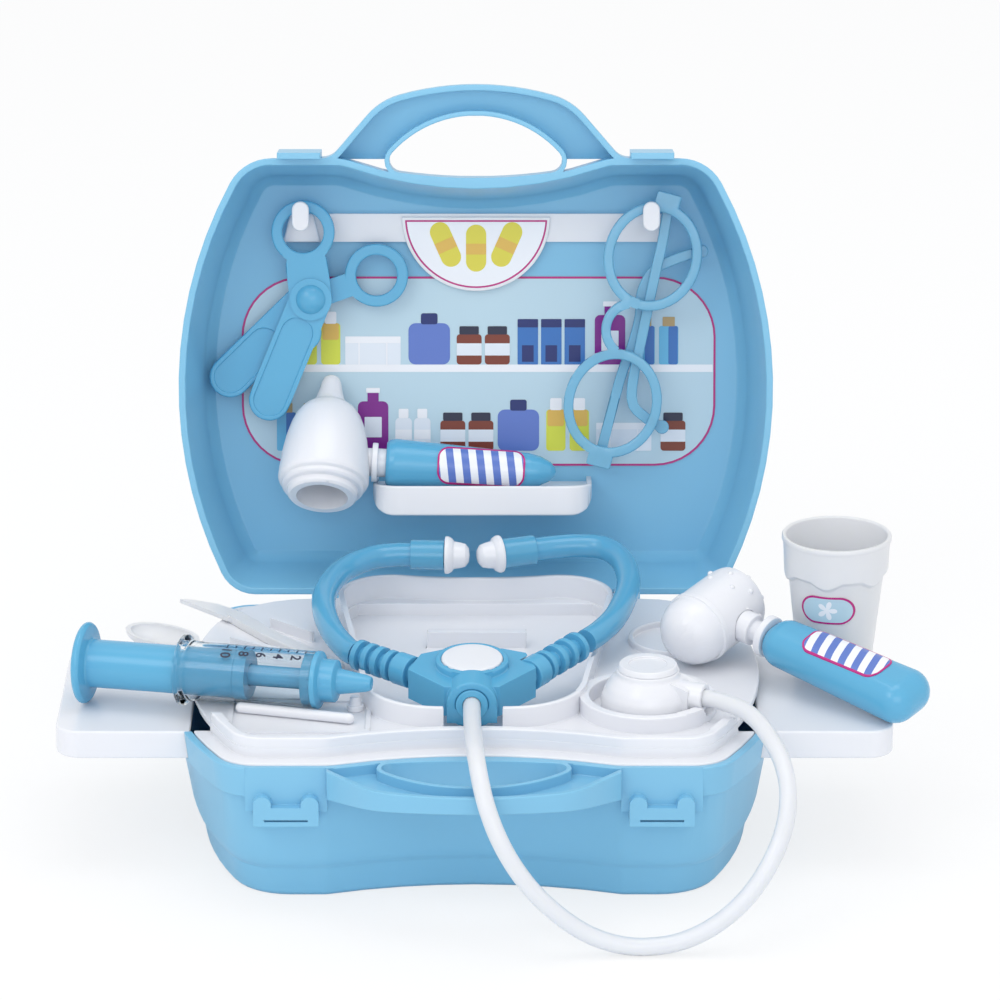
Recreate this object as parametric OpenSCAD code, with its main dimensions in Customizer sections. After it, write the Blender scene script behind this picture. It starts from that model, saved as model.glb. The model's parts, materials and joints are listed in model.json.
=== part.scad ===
// Toy doctor case, open, with its instruments laid out: everything in millimetres.
// Origin: centre of the case's underside. X right, Y towards the hinge, Z up.

/* [Case] */
// How far the open lid leans back past upright
lean = 12; // [11:0.5:13]
// Height of the base's rim above the table
rim_z = 60.5; // [60:0.1:61]
// Depth of the case from the hinge axis to the front of the rim
rim_d = 187.3; // [186.8:0.1:187.8]
// Height of the raised band under each rim
band_h = 12.7; // [12.2:0.1:13]
// Thickness of the shells
wall = 2.5; // [2.3:0.1:2.7]
// Depth of the lid shell
lid_depth = 38; // [37.5:0.1:38.5]

/* [Handle and catches] */
// Wall round the hand hole
ring_w = 2; // [1.8:0.1:2.2]
// Width of each snap tongue
tongue_w = 18; // [16:0.5:20]
// Distance of each catch from the middle
catch_u = 73.6; // [73:0.1:74]

/* [Tray and wings] */
// Thickness of the tray's deck
deck_t = 2.2; // [2:0.1:2.4]
// Height of the deck's top above the table
deck_z = 65.2; // [65:0.1:65.4]
// Height of the kidney pocket's lip above the table
lip_z = 74.2; // [73.6:0.1:74.3]
// Wall of the kidney-shaped pocket
lip_w = 2.2; // [2:0.1:2.4]
// Thickness of the wings' walls
wing_w = 2; // [1.8:0.1:2.4]

/* [Instruments] */
// Outer diameter of the hose
hose_d = 7; // [6.6:0.1:7.2]
// Diameter of the ear tubes
ear_d = 10; // [9.4:0.2:10.2]
// Height of the cup
cup_h = 57.3; // [54:0.5:60]
// Wall of the cup
cup_w = 1.2; // [1:0.1:1.6]
// Diameter of the plunger rod
plunger_d = 19.4; // [18.4:0.2:19.8]
// Thickness of one scissor arm
blade_t = 4; // [3.6:0.1:4.2]
// Width of the spectacles' rims
glass_w = 4.2; // [3.8:0.1:4.4]
// Diameter of the otoscope's handle
scope_d = 21; // [20:0.2:21.4]

/* [Hidden] */
$fn = 48;
fit = 0.05;
slide_gap = 0.1;
hinge_y = rim_d / 2;
half_w = 125;
side_r = 182;
side_c = [half_w - side_r, 90];
back_v = 3;
mid_v = rim_d - 10;
handle_r = 118;
handle_c = [0, rim_d + 30.7 - handle_r];
shoulder_r = 28;
shoulder_a = acos(32 / handle_r);
shoulder_c = handle_c + (handle_r - shoulder_r) * [cos(shoulder_a), sin(shoulder_a)];
wing_z0 = 48.7;
wing_z1 = 60.2;
wing_v0 = 57;
wing_v1 = 147.5;
case_blue = [0.42, 0.7, 0.86];
tube_blue = [0.36, 0.68, 0.86, 0.9];
clear = [0.85, 0.92, 0.96, 0.5];
white = [0.95, 0.95, 0.97];
milky = [0.93, 0.94, 0.97, 0.8];
pink = [0.78, 0.2, 0.5];

// Points of an arc about c, from angle a0 to a1.
function arc(c, r, a0, a1, n) =
  [for (i = [0:n]) c + r * [cos(a0 + (a1 - a0) * i / n), sin(a0 + (a1 - a0) * i / n)]];
function flip(p) = [for (i = [len(p) - 1:-1:0]) [-p[i][0], p[i][1]]];
function both(p) = concat(p, flip(p));
function unit(v) = v / norm(v);

// Outline of the case seen from above, d inside the rim: u across, v forward of the hinge.
// rf and rh are the front and hinge corner radii, bv is the hinge-side line.
function half_plan(d, rf, rh, bv) =
  let (
    hy = bv + rh,
    hx = side_c[0] + sqrt(pow(side_r - rh, 2) - pow(side_c[1] - hy, 2)),
    fy = rim_d - rf,
    fx = side_c[0] + sqrt(pow(side_r - rf, 2) - pow(fy - side_c[1], 2)),
    ah = atan2(hy - side_c[1], hx - side_c[0]),
    af = atan2(fy - side_c[1], fx - side_c[0]),
    ab = atan2(175, -60)
  )
  concat(
    arc([hx, hy], rh - d, -90, ah, 6),
    [for (i = [1:13]) side_c + (side_r - d) * [cos(ah + (af - ah) * i / 14), sin(ah + (af - ah) * i / 14)]],
    arc([fx, fy], rf - d, af, 90, 7),
    arc([60, rim_d - 25], 25 - d, 90, ab, 3),
    [for (i = [1:4]) [0, rim_d + 150] + (160 + d) * [cos(ab - 180 - (ab - 90) * i / 4),
      sin(ab - 180 - (ab - 90) * i / 4)]]
  );
function plan(d, rf = 20, rh = 16, bv = back_v) =
  let (h = half_plan(d, rf, rh, bv)) concat(h, flip([for (i = [0:len(h) - 2]) h[i]]));

// Outline of the carrying handle beyond the front of the rim, d inside it.
function handle_plan(d) = both(concat(
  [[0, rim_d - 15], [65.8, rim_d - 6], [65.8, rim_d - d], [64.4, rim_d - d]],
  [for (i = [1:5]) [64.4, rim_d + 8] + (8 + d) * [cos(-90 - 10 * i), sin(-90 - 10 * i)]],
  arc(shoulder_c, shoulder_r - d, 40, shoulder_a, 6),
  [for (i = [1:6]) let (a = shoulder_a + (90 - shoulder_a) * i / 6)
    handle_c + (handle_r - d) * [cos(a), sin(a)]]));

// Outline of the hand hole, e larger all round.
function hole_plan(e) = let (
    ty = rim_d - 29.2, by = rim_d + 217.7, rt = 47 + e, rb = 226 + e, rc = 5 + e,
    cy = (42 * 42 - 221 * 221 + by * by - ty * ty) / (2 * (by - ty)),
    cx = sqrt(42 * 42 - pow(cy - ty, 2)),
    at = atan2(cy - ty, cx), ab = atan2(cy - by, cx))
  both(concat(
    [for (i = [1:5]) [0, by] + rb * [cos(-90 + (ab + 90) * i / 5), sin(-90 + (ab + 90) * i / 5)]],
    [for (i = [1:5]) [cx, cy] + rc * [cos(ab + (at - ab) * i / 6), sin(ab + (at - ab) * i / 6)]],
    [for (i = [0:11]) [0, ty] + rt * [cos(at + (90 - at) * i / 12), sin(at + (90 - at) * i / 12)]]));

// Outline of the kidney-shaped pocket, e inside its outer face.
lobe = [35.2, 25.5];
nose = [14, 126];
function bean(e) = let (
    dip = [0, -160], dr = norm(lobe - dip) - 22, ad = atan2(lobe[1] + 160, lobe[0]))
  both(concat(
    [for (i = [0:5]) dip + (dr + e) * [cos(89 + (ad - 89) * i / 5), sin(89 + (ad - 89) * i / 5)]],
    arc(lobe, 22 - e, ad - 180 + 8, 7, 12),
    arc(nose, 31 - e, 7, 90, 9)));

// A closed solid through rings that all have the same number of points.
module loft(rings) {
  n = len(rings[0]);
  m = len(rings);
  polyhedron(
    points = [for (r = rings) each r],
    faces = concat(
      [[for (i = [0:n - 1]) i]],
      [for (j = [0:m - 2], i = [0:n - 1], k = [0:1])
        k == 0 ? [j * n + i, (j + 1) * n + i, (j + 1) * n + (i + 1) % n]
               : [j * n + i, (j + 1) * n + (i + 1) % n, j * n + (i + 1) % n]],
      [[for (i = [n - 1:-1:0]) (m - 1) * n + i]]));
}
function at_z(p, z) = [for (q = p) [q[0], q[1], z]];

// A smooth path through p with n steps between points, and a tube swept along a path.
function smooth(p, n) = concat(
  [for (i = [0:len(p) - 2], k = [0:n - 1]) let (
      a = p[max(i - 1, 0)], b = p[i], c = p[i + 1], d = p[min(i + 2, len(p) - 1)], t = k / n)
    0.5 * (2 * b + (c - a) * t + (2 * a - 5 * b + 4 * c - d) * t * t + (3 * b - a - 3 * c + d) * t * t * t)],
  [p[len(p) - 1]]);
function carry(t, i, s) = i >= len(t) ? [] :
  let (q = unit(s - (s * t[i]) * t[i])) concat([q], carry(t, i + 1, q));
module sweep(p, r, start, n = 16) {
  t = [for (i = [0:len(p) - 1]) unit(p[min(i + 1, len(p) - 1)] - p[max(i - 1, 0)])];
  s = carry(t, 0, start);
  loft([for (i = [0:len(p) - 1]) [for (k = [0:n - 1])
    p[i] + r * (cos(360 * k / n) * s[i] + sin(360 * k / n) * cross(t[i], s[i]))]]);
}

module in_base() translate([0, hinge_y, 0]) mirror([0, 1, 0]) children();
module in_case() translate([0, hinge_y, 0]) children();
module in_lid() translate([0, hinge_y, rim_z]) rotate([90 - lean, 0, 0]) children();
// Local z along z_dir, local x as near x_dir as it can be.
module aimed(o, z_dir, x_dir) {
  z = unit(z_dir);
  x = unit(x_dir - (x_dir * z) * z);
  y = cross(z, x);
  multmatrix([[x[0], y[0], z[0], o[0]], [x[1], y[1], z[1], o[1]], [x[2], y[2], z[2], o[2]]]) children();
}
// A round-ended bar from a to b in the xy plane, and a rectangle with round corners.
module bar(a, b, r, h) {
  t = atan2(b[1] - a[1], b[0] - a[0]);
  linear_extrude(h) polygon(concat(arc(b, r, t - 90, t + 90, 14), arc(a, r, t + 90, t + 270, 14)));
}
module rounded(x0, x1, y0, y1, r, z, h) translate([0, 0, z]) linear_extrude(h) polygon(concat(
  arc([x1 - r, y1 - r], r, 0, 90, 6), arc([x0 + r, y1 - r], r, 90, 180, 6),
  arc([x0 + r, y0 + r], r, 180, 270, 6), arc([x1 - r, y0 + r], r, 270, 360, 6)));
module tube(r1, r2, h) difference() {
  cylinder(r = r1, h = h);
  translate([0, 0, -1]) cylinder(r = r2, h = h + 2);
}
module block(x0, x1, y0, y1, z0, z1) translate([x0, y0, z0]) cube([x1 - x0, y1 - y0, z1 - z0]);

// ---- Case ----
band_z = rim_z - band_h;
base_rings = [
  at_z(plan(16.3, 40, 32), 0), at_z(plan(14.7, 40, 32), 1.6), at_z(plan(12.8, 37, 28), band_z - 35.2),
  at_z(plan(11.6, 36, 27), band_z - 33.8), at_z(plan(10.3, 35, 26), band_z - 31.8),
  at_z(plan(9.3, 34, 25), band_z - 28.8), at_z(plan(4.2, 22, 17), band_z - 0.3),
  at_z(plan(1.6), band_z), at_z(plan(0), rim_z - 0.4), at_z(plan(0.4), rim_z),
  at_z(plan(3.2), rim_z), at_z(plan(3.2), rim_z - 1.5), at_z(plan(4.2 + wall), rim_z - 1.5),
  at_z(plan(4.2 + wall, 22, 17), band_z), at_z(plan(9.3 + wall, 34, 25), band_z - 28.8),
  at_z(plan(13 + wall, 37, 28), band_z - 34), at_z(plan(17.5, 40, 32), wall)];
module knuckle(x0, x1, r, y, z) translate([x0, y, z]) rotate([0, 90, 0]) cylinder(r = r, h = x1 - x0);
// Handle band: its outer wall and the wall round the hand hole, and the slab under its underside,
// which rises towards the tip.
module handle(z0, z1) difference() {
  translate([0, 0, z0]) linear_extrude(z1 - z0) polygon(handle_plan(0));
  translate([0, 0, z0 - 1]) linear_extrude(z1 - z0 + 2) polygon(hole_plan(0));
  under_slope(z0);
}
module under_slope(z) translate([-80, rim_d - 1, z]) rotate([10.4, 0, 0])
  translate([0, 0, -12]) cube([160, 45, 12]);
module channel(h) difference() {
  linear_extrude(h) polygon(handle_plan(wall));
  translate([0, 0, -1]) linear_extrude(h + 2) polygon(hole_plan(ring_w));
  translate([0, 0, -1]) linear_extrude(h + 2) polygon(plan(0));
}
module base_shell() color(case_blue) in_base() {
  difference() {
    union() {
      difference() {
        union() {
          loft(base_rings);
          difference() {
            handle(band_z, rim_z);
            translate([0, 0, band_z + 8.2]) channel(6);
            translate([0, 0, band_z - 1]) channel(7);
            translate([0, 0, band_z - 5]) linear_extrude(30) polygon(plan(2));
          }
        }
        // the sides are cut down between the corners to let the wings through
        for (s = [-1, 1]) block(s * 118 - 30, s * 118 + 30, 11, wing_v1 + 0.5, wing_z0 - slide_gap, 70);
        for (s = [-1, 1]) block(s * catch_u - 16, s * catch_u + 16, rim_d - 1, rim_d + 5, 30, 70);
      }
      for (s = [-1, 1]) {
        // catch plates with their lugs
        block(s * catch_u - 16, s * catch_u + 16, rim_d - 7, rim_d - 1, rim_z - 18.5, rim_z - 1.5);
        block(s * catch_u - 16, s * catch_u + 16, rim_d - 3.2, rim_d - 1, rim_z - 2, rim_z);
        block(s * catch_u - 12.8, s * catch_u + 12.8, rim_d - 8, rim_d + 3, rim_z - 23.5, rim_z - 15.5);
        for (k = [-1, 1]) translate([s * catch_u + k * 9.3, rim_d - 4, rim_z - 14.5])
          rotate([-90, 0, 0]) cylinder(r = 3.5, h = 7);
        // rails that carry the wings
        for (v = [60, 140.5]) {
          block(s * 69 - 35, s * 69 + 35, v, v + 4, 19, wing_z0 - slide_gap);
          block(s * 62 - 28, s * 62 + 28, v, v + 4, 1, 20);
        }
        // hinge knuckles
        knuckle(s * 55 - 6, s * 55 + 6, 3.8, 0, rim_z);
        block(s * 55 - 6, s * 55 + 6, 0, 5, rim_z - 8, rim_z);
        // stops that hold the open lid
        for (k = [-1, 1]) translate([s * 55 + k * 10.2 - 3, 0, rim_z]) rotate([90, 0, 90])
          linear_extrude(6) polygon([[5, -11], [5, -4.7], [-4.6, -4.7], [-4.6, -4.6 * tan(lean) - 0.08],
            [-8, -8 * tan(lean) - 0.08], [-8, -6.5], [-2, -11]]);
      }
    }
    for (s = [-1, 1]) {
      knuckle(s * 55 - 7, s * 55 + 7, 1.5, 0, rim_z);
      for (k = [-1, 1]) knuckle(s * 55 + k * 10.2 - 4.2, s * 55 + k * 10.2 + 4.2, 4.2, 0, rim_z);
      // the wall behind each knuckle group leaves the lid room to swing
      block(s * catch_u - 8.5, s * catch_u + 8.5, rim_d - 2, rim_d + 5, rim_z - 21.4, rim_z - 20.6);
    }
  }
}
module hinge_pin(s) color(white) in_base() knuckle(s * 55 - 14, s * 55 + 14, 1.5, 0, rim_z);
module left_hinge_pin() hinge_pin(-1);
module right_hinge_pin() hinge_pin(1);

lid_rings = [
  at_z(plan(13.5), -lid_depth), at_z(plan(10.8), 1 - lid_depth), at_z(plan(8.4), 3.6 - lid_depth),
  at_z(plan(6.6), 9 - lid_depth), at_z(plan(4), -band_h - 0.3), at_z(plan(1.6), -band_h),
  at_z(plan(0), -0.4), at_z(plan(0.4), 0), at_z(plan(2.8), 0), at_z(plan(4 + wall), -band_h - 0.3),
  at_z(plan(6.6 + wall), 9 - lid_depth), at_z(plan(8.8 + wall), 4.8 - lid_depth),
  at_z(plan(13.8), wall - lid_depth)];
module lid_shell() color(case_blue) in_lid() difference() {
  union() {
    loft(lid_rings);
    difference() {
      handle(-band_h, 0);
      // the floor of its channel slopes with the underside
      difference() {
        translate([0, 0, -band_h - 1]) channel(band_h + 2);
        under_slope(wall - band_h);
      }
      translate([0, 0, -30]) linear_extrude(60) polygon(plan(2));
    }
    for (s = [-1, 1]) {
      block(s * catch_u - tongue_w / 2, s * catch_u + tongue_w / 2, rim_d - 1.5, rim_d + 3.2, -10, -4);
      block(s * catch_u - tongue_w / 2, s * catch_u + tongue_w / 2, rim_d + 0.6, rim_d + 3.2, -4.5, 14);
      for (k = [-1, 1]) {
        knuckle(s * 55 + k * 10.2 - 4, s * 55 + k * 10.2 + 4, 3.8, 0, 0);
        block(s * 55 + k * 10.2 - 4, s * 55 + k * 10.2 + 4, 0, 4.5, -8, 0);
      }
    }
  }
  for (s = [-1, 1]) {
    knuckle(s * 55 - 6.2, s * 55 + 6.2, 4.2, 0, 0);
    knuckle(s * 55 - 16, s * 55 + 16, 1.5 + fit, 0, 0);
  }
}

panel_z = wall - lid_depth;
hook_v = 160.4;
module hook_rail() color(white) in_lid() {
  block(-79.2, 80.3, 149.6, 161.5, panel_z, panel_z + 2.5);
  for (u = [-74, 74]) {
    translate([u, hook_v, panel_z]) cylinder(r = 2.4, h = 18);
    translate([u, 0, panel_z + 17.4]) bar([0, 159.1], [0, 164.4], 3.6, 2.8);
  }
  translate([-74, 0, panel_z + 2]) linear_extrude(3.4)
    polygon([[-8, 149.6], [8, 149.6], [5, 161.5], [-5, 161.5]]);
}
module badge() color(white) in_lid() difference() {
  translate([0, 160.2, panel_z + 0.6]) cylinder(r = 31.5, h = 3, $fn = 72);
  block(-40, 40, 160.2, 200, panel_z - 1, panel_z + 8);
  block(-40, 40, 149.4, 161.5, panel_z - 1, panel_z + 2.5);
}
module shelf_card() color([0.75, 0.88, 0.95]) in_lid() translate([0, 0, panel_z]) difference() {
  union() {
    block(-74, 76, 53.5, 134.6, 0, 0.5);
    block(-100, 102, 79.5, 108.6, 0, 0.5);
    for (u = [-74, 76], v = [79.5, 108.6]) translate([u, v, 0]) cylinder(r = 26, h = 0.5);
  }
}
shelf_v = 57.5 - scope_d / 2 - 0.2;
module lid_shelf() color(white) in_lid() translate([2.7, 0, 0]) intersection() {
  rotate([-90, 0, 0]) difference() {
    translate([0, 0, 36.5]) shelf_block(46.3, 0.6, 12.5, 12);
    translate([0, 0, shelf_v]) shelf_block(44.3, 2.6, 20, 10);
    translate([0, 0, 30]) shelf_block(44.3, 2.6, shelf_v - 32, 10);
  }
  rounded(-46.3, 46.3, 36.5, 70, 8, panel_z - 1, 40);
}
// A block against the lid's panel with its two front corners rounded by r.
module shelf_block(w, front, h, r) {
  translate([-w, front + r, 0]) cube([2 * w, -panel_z - front - r, h]);
  translate([-w + r, front, 0]) cube([2 * w - 2 * r, r + 1, h]);
  for (s = [-1, 1]) translate([s * (w - r), front + r, 0]) cylinder(r = r, h = h);
}

// ---- Tray ----
function deck_plan(d) = plan(d, 24, 50, -1);
module tray_panel() color(white) difference() {
  in_base() tray_body();
  // cradles for the stethoscope's arms and its chest piece
  in_steth() aimed(left_arm[0], left_arm[1], [0, 0, 1]) cylinder(r = 6.9, h = 50);
  in_steth() aimed(right_arm[0], right_arm[1], [0, 0, 1]) cylinder(r = 6.9, h = 58);
  aimed([chest_o[0], chest_o[1], 74], chest_dir, [0, 0, 1]) cylinder(r = 6.6, h = 40);
}
module tray_body() difference() {
  union() {
    difference() {
      union() {
        // deck with the skirt and flange that stand on the base's rim
        translate([0, 0, deck_z - deck_t]) linear_extrude(deck_t) polygon(deck_plan(9.5));
        difference() {
          translate([0, 0, rim_z + 0.1]) linear_extrude(deck_z - rim_z - 1) polygon(deck_plan(9.8));
          block(-140, 140, 55, wing_v1 + 1, 40, 80);
          block(-140, -85, 11, 60, 40, 80);
          block(85, 140, 11, 60, 40, 80);
          translate([0, 0, 30]) linear_extrude(50) polygon(deck_plan(11.7));
        }
        difference() {
          translate([0, 0, rim_z - 1.2]) linear_extrude(1.7) polygon(plan(3.5));
          translate([0, 0, 40]) linear_extrude(50) polygon(plan(12));
          block(-140, 140, 10, wing_v1 + 1, 40, 80);
        }
        // the sides behind the wings come down to the cut-down wall
        difference() {
          translate([0, 0, wing_z0 - slide_gap + 0.2]) linear_extrude(deck_z - wing_z0 - 1)
            polygon(deck_plan(9.8));
          translate([0, 0, 30]) linear_extrude(50) polygon(deck_plan(11.7));
          block(-140, 140, 55, 200, 40, 80);
          block(-86, 86, -5, 60, 40, 80);
          block(-140, 140, -5, 13, 40, 80);
        }
        difference() {
          translate([0, 0, wing_z0 - slide_gap + 0.2]) linear_extrude(2) polygon(plan(5));
          translate([0, 0, 30]) linear_extrude(50) polygon(deck_plan(11.7));
          block(-140, 140, 55, 200, 40, 80);
          block(-86, 86, -5, 60, 40, 80);
          block(-140, 140, -5, 13, 40, 80);
        }
        // ridge along the front
        difference() {
          translate([0, 0, deck_z - 0.5]) linear_extrude(4.7) polygon(deck_plan(9.8));
          translate([0, 0, 30]) linear_extrude(50) polygon(deck_plan(13.5));
          block(-140, 140, -5, 150, 40, 80);
        }
        // nest for the little rods
        difference() {
          rounded(-98, -41.2, 127, 163, 4, deck_z - 0.5, 1.4);
          rounded(-96, -43.2, 129, 161, 2.4, deck_z - 1, 6);
        }
        // knife slot, side pocket and chest-piece pocket
        translate([0, 0, deck_z - 0.5]) bar([-83.8, 44.3], [-67.6, 59.6], 1.3, 5.3);
        translate([0, 0, deck_z - 0.5]) bar([-99.4, 66.6], [-71.2, 87.3], 1.3, 5.3);
        translate([82, 60, deck_z - 0.5]) cylinder(r = 19, h = 3.2);
        translate([69, 136, deck_z - 0.5]) cylinder(r = 27.3, h = 7.3, $fn = 72);
        // kidney-shaped pocket
        translate([0, 0, deck_z - deck_t + 0.2]) linear_extrude(lip_z - deck_z + deck_t - 0.2) polygon(bean(0));
        difference() {
          translate([0, 0, 57]) linear_extrude(7) polygon(bean(0.8));
          block(-70, 70, -10, 10.4, 50, 80);
        }
      }
      translate([0, 0, deck_z - 1]) linear_extrude(40) polygon(bean(lip_w));
      difference() {
        translate([0, 0, 59]) linear_extrude(40) polygon(bean(lip_w + 0.8));
        block(-70, 70, -10, 12.6, 50, 80);
      }
      translate([82, 60, deck_z]) cylinder(r = 17, h = 9);
      translate([69, 136, deck_z]) cylinder(r = 23.3, h = 9, $fn = 72);
    }
    block(-20, 21, 47, 51, 58, 66);
  }
  block(-12.2, 11.2, 140, 163, deck_z, 90);
}
// A wing that pulls out of the side, on two legs that run on the base's rails.
module wing() {
  difference() {
    union() {
      block(113, 157, wing_v0, wing_v1, wing_z0, wing_z1);
      block(150, 167, wing_v0 + 10, wing_v1 - 10, wing_z0, wing_z1);
      for (v = [wing_v0 + 10, wing_v1 - 10]) translate([157, v, wing_z0])
        cylinder(r = 10, h = wing_z1 - wing_z0);
    }
    block(111, 155, wing_v0 + wing_w, wing_v1 - wing_w, wing_z0 - 1, wing_z1 - wing_w);
    block(150, 167 - wing_w, wing_v0 + 10, wing_v1 - 10, wing_z0 - 1, wing_z1 - wing_w);
  }
  block(83, 150, wing_v0, wing_v0 + 9, wing_z0, wing_z0 + 6.3);
  block(83, 150, wing_v1 - 9, wing_v1, wing_z0, wing_z0 + 6.3);
}
module left_wing() color(white) in_base() mirror([1, 0, 0]) wing();
module right_wing() color(white) in_base() wing();

// ---- Scissors on the left hook ----
cut_z = panel_z + 4.6;
pivot = [-70, 126];
module scissors_front() color(tube_blue) in_lid() translate([0, 0, cut_z + blade_t + 0.1]) difference() {
  union() {
    translate([-73.2, 154.4, 0]) cylinder(r = 13.4, h = blade_t);
    bar([-71.6, 140], pivot, 8.9, blade_t);
    bar(pivot, [-87.7, 83], 8.8, blade_t);
    translate([-73, 111.5, 0]) cylinder(r = 7.4, h = blade_t);
    translate([pivot[0], pivot[1], 0]) cylinder(r = 8.9, h = blade_t + 1);
  }
  translate([0, 0, blade_t - 0.7]) bar([-76, 111.4], [-87.7, 83], 6.8, 2);
  translate([-73.2, 154.4, -1]) cylinder(r = 8.7, h = blade_t + 2);
  translate([pivot[0], pivot[1], -1]) cylinder(r = 2.6, h = blade_t + 3);
}
module scissors_back() color(tube_blue) in_lid() translate([0, 0, cut_z]) difference() {
  union() {
    translate([-42.2, 135.8, 0]) cylinder(r = 13.4, h = blade_t);
    bar([-52, 132.4], pivot, 5, blade_t);
    bar(pivot, [-104.5, 92.5], 8.8, blade_t);
  }
  translate([0, 0, blade_t - 0.7]) bar([-90, 106.6], [-104.5, 92.5], 6.8, 2);
  translate([-42.2, 135.8, -1]) cylinder(r = 8.7, h = blade_t + 2);
  translate([pivot[0], pivot[1], -1]) cylinder(r = 2.6 + fit, h = blade_t + 2);
}
module scissors_cap() color(tube_blue) in_lid() translate([pivot[0], pivot[1], cut_z]) {
  cylinder(r = 2.6, h = 2 * blade_t + 1.3);
  translate([0, 0, 2 * blade_t + 1.1]) intersection() {
    cylinder(r = 6.3, h = 3.2);
    translate([0, 0, -5.4]) sphere(r = 8.3);
  }
}

// ---- Spectacles on the right hook ----
rim_a = [74.7, 144.5];
rim_b = [57.9, 82];
hinge_a = [81.3, 168.2];
hinge_b = [52.4, 58];
spec_z = panel_z + 13;
function oval(a, b, n = 48) = [for (i = [0:n - 1]) [a * cos(360 * i / n), b * sin(360 * i / n)]];
module spec_rim(c) translate([c[0], c[1], 0]) rotate([0, 0, -15]) difference() {
  linear_extrude(4) polygon(oval(20.7, 23.3));
  translate([0, 0, -1]) linear_extrude(6) polygon(oval(20.7 - glass_w, 23.3 - glass_w));
}
module glasses_frame() color(tube_blue) in_lid() translate([0, 0, spec_z]) difference() {
  union() {
    spec_rim(rim_a);
    spec_rim(rim_b);
    translate([66.4, 113.2, 0]) rotate([0, 0, 98]) rotate_extrude(angle = 134)
      translate([9.4, 0]) square([4, 4]);
    for (c = [[hinge_a, -1.6], [hinge_b, -4.5]]) translate([c[0][0], c[0][1], 0]) rotate([0, 0, -15]) {
      block(-5.2, 5.2, -3, 3, 0, 4);
      for (s = [-1, 1]) {
        block(s * 2.6 - 1, s * 2.6 + 1, -1.5, 1.5, c[1], 0.5);
        translate([s * 2.6 - 1, 0, c[1]]) rotate([0, 90, 0]) cylinder(r = 1.5, h = 2);
      }
    }
  }
  for (c = [[hinge_a, -1.6], [hinge_b, -4.5]]) translate([c[0][0], c[0][1], c[1]]) rotate([0, 0, -15])
    translate([-5, 0, 0]) rotate([0, 90, 0]) cylinder(r = 0.8 + fit, h = 10);
}
// Outline of a strip of half-width w along the path p.
function strip(p, w) = let (
    t = [for (i = [0:len(p) - 1]) unit(p[min(i + 1, len(p) - 1)] - p[max(i - 1, 0)])])
  concat([for (i = [0:len(p) - 1]) p[i] + w * [t[i][1], -t[i][0]]],
    [for (i = [len(p) - 1:-1:0]) p[i] - w * [t[i][1], -t[i][0]]]);
module temple(p, c, drop) color(tube_blue) in_lid() translate([0, 0, spec_z - drop]) {
  translate([0, 0, -1.4]) linear_extrude(2.8) polygon(strip(smooth(p, 4), 2.2));
  translate([c[0], c[1], 0]) rotate([0, 0, -15]) rotate([0, 90, 0]) {
    translate([0, 0, -3.4]) cylinder(r = 0.8, h = 6.8);
    translate([0, 0, -1.5]) cylinder(r = 1.4, h = 3);
  }
  translate([c[0], c[1], -1.4]) rotate([0, 0, atan2(p[0][1] - c[1], p[0][0] - c[0])])
    translate([0, -1.1, 0]) cube([norm(p[0] - c) + 0.6, 2.2, 2.8]);
  end = p[len(p) - 1];
  translate([end[0], end[1], -1.4]) cylinder(r = 2.9, h = 2.8);
}
module upper_temple() temple([[81, 163.6], [78.8, 150], [75.2, 134], [69.8, 108], [66, 84], [72, 75.5],
  [79, 71.5]], hinge_a, 1.6);
module lower_temple() temple([[53.5, 62], [61, 91], [66.3, 106], [69.4, 118], [70.4, 129], [76, 138.5],
  [86.5, 143.5], [95.5, 146]], hinge_b, 4.5);

// ---- Otoscope on the lid's shelf ----
module in_scope() in_lid() translate([-64.8, 44.6, 2.4]) rotate([-125, 0, -4.2]) children();
module otoscope_head() color(white) {
  difference() {
    union() {
      in_scope() rotate_extrude($fn = 64) polygon([[0, 0.2], [13.8, 0.2], [14.8, 1.2], [15, 3.4], [16.6, 3.8],
        [17.4, 4.8], [17.4, 6.2], [18.6, 7], [19.2, 8.6], [19.1, 12], [18.4, 20], [17.2, 27.6], [15.6, 34],
        [13.8, 38.4], [11.6, 41.6], [9.4, 43.4], [7.6, 44.8], [6.2, 47], [5, 51], [4.2, 55], [3.4, 57],
        [2.2, 58], [0, 58.2]]);
      in_grip() translate([0, 0, -18]) cylinder(r = 6, h = 18);
      in_grip() translate([0, 0, -6]) cylinder(r = 8.3, h = 2.4);
    }
    in_scope() translate([0, 0, -1]) cylinder(r = 10.9, h = 27);
    in_scope() translate([0, 0, 5]) cylinder(r = 1.2, h = 60);
  }
}
// The handle lies on the shelf, tapered and tilted by the same angle. Local z along it.
grip_tilt = 3;
grip_r = scope_d / 2;
grip_end = grip_r - 60 * sin(grip_tilt);
module in_grip() in_lid() translate([-38, 57.5, -12]) rotate([0, 0, -grip_tilt]) rotate([0, 90, 0]) children();
module otoscope_handle() color(case_blue) in_grip() rotate_extrude($fn = 64) polygon([[0, 0], [grip_r - 1.8, 0],
  [grip_r - 0.6, 1.2], [grip_r, 4], [grip_end, 60], [grip_end - 1, 65], [grip_end - 3.2, 69.4],
  [grip_end - 5.4, 71.4], [0, 72]]);
module grip_cone(e) translate([0, 0, 4]) cylinder(r1 = grip_r + e, r2 = grip_end + e, h = 56, $fn = 64);
module otoscope_sticker() color(pink) in_grip() difference() {
  intersection() {
    grip_cone(0.4);
    translate([0, 0, 40.2]) rotate([0, -90, 0]) rotate([-11, 0, 0]) rounded(-18.5, 18.5, -8, 8, 5, 0, 20);
  }
  grip_cone(0.06);
}

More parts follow.
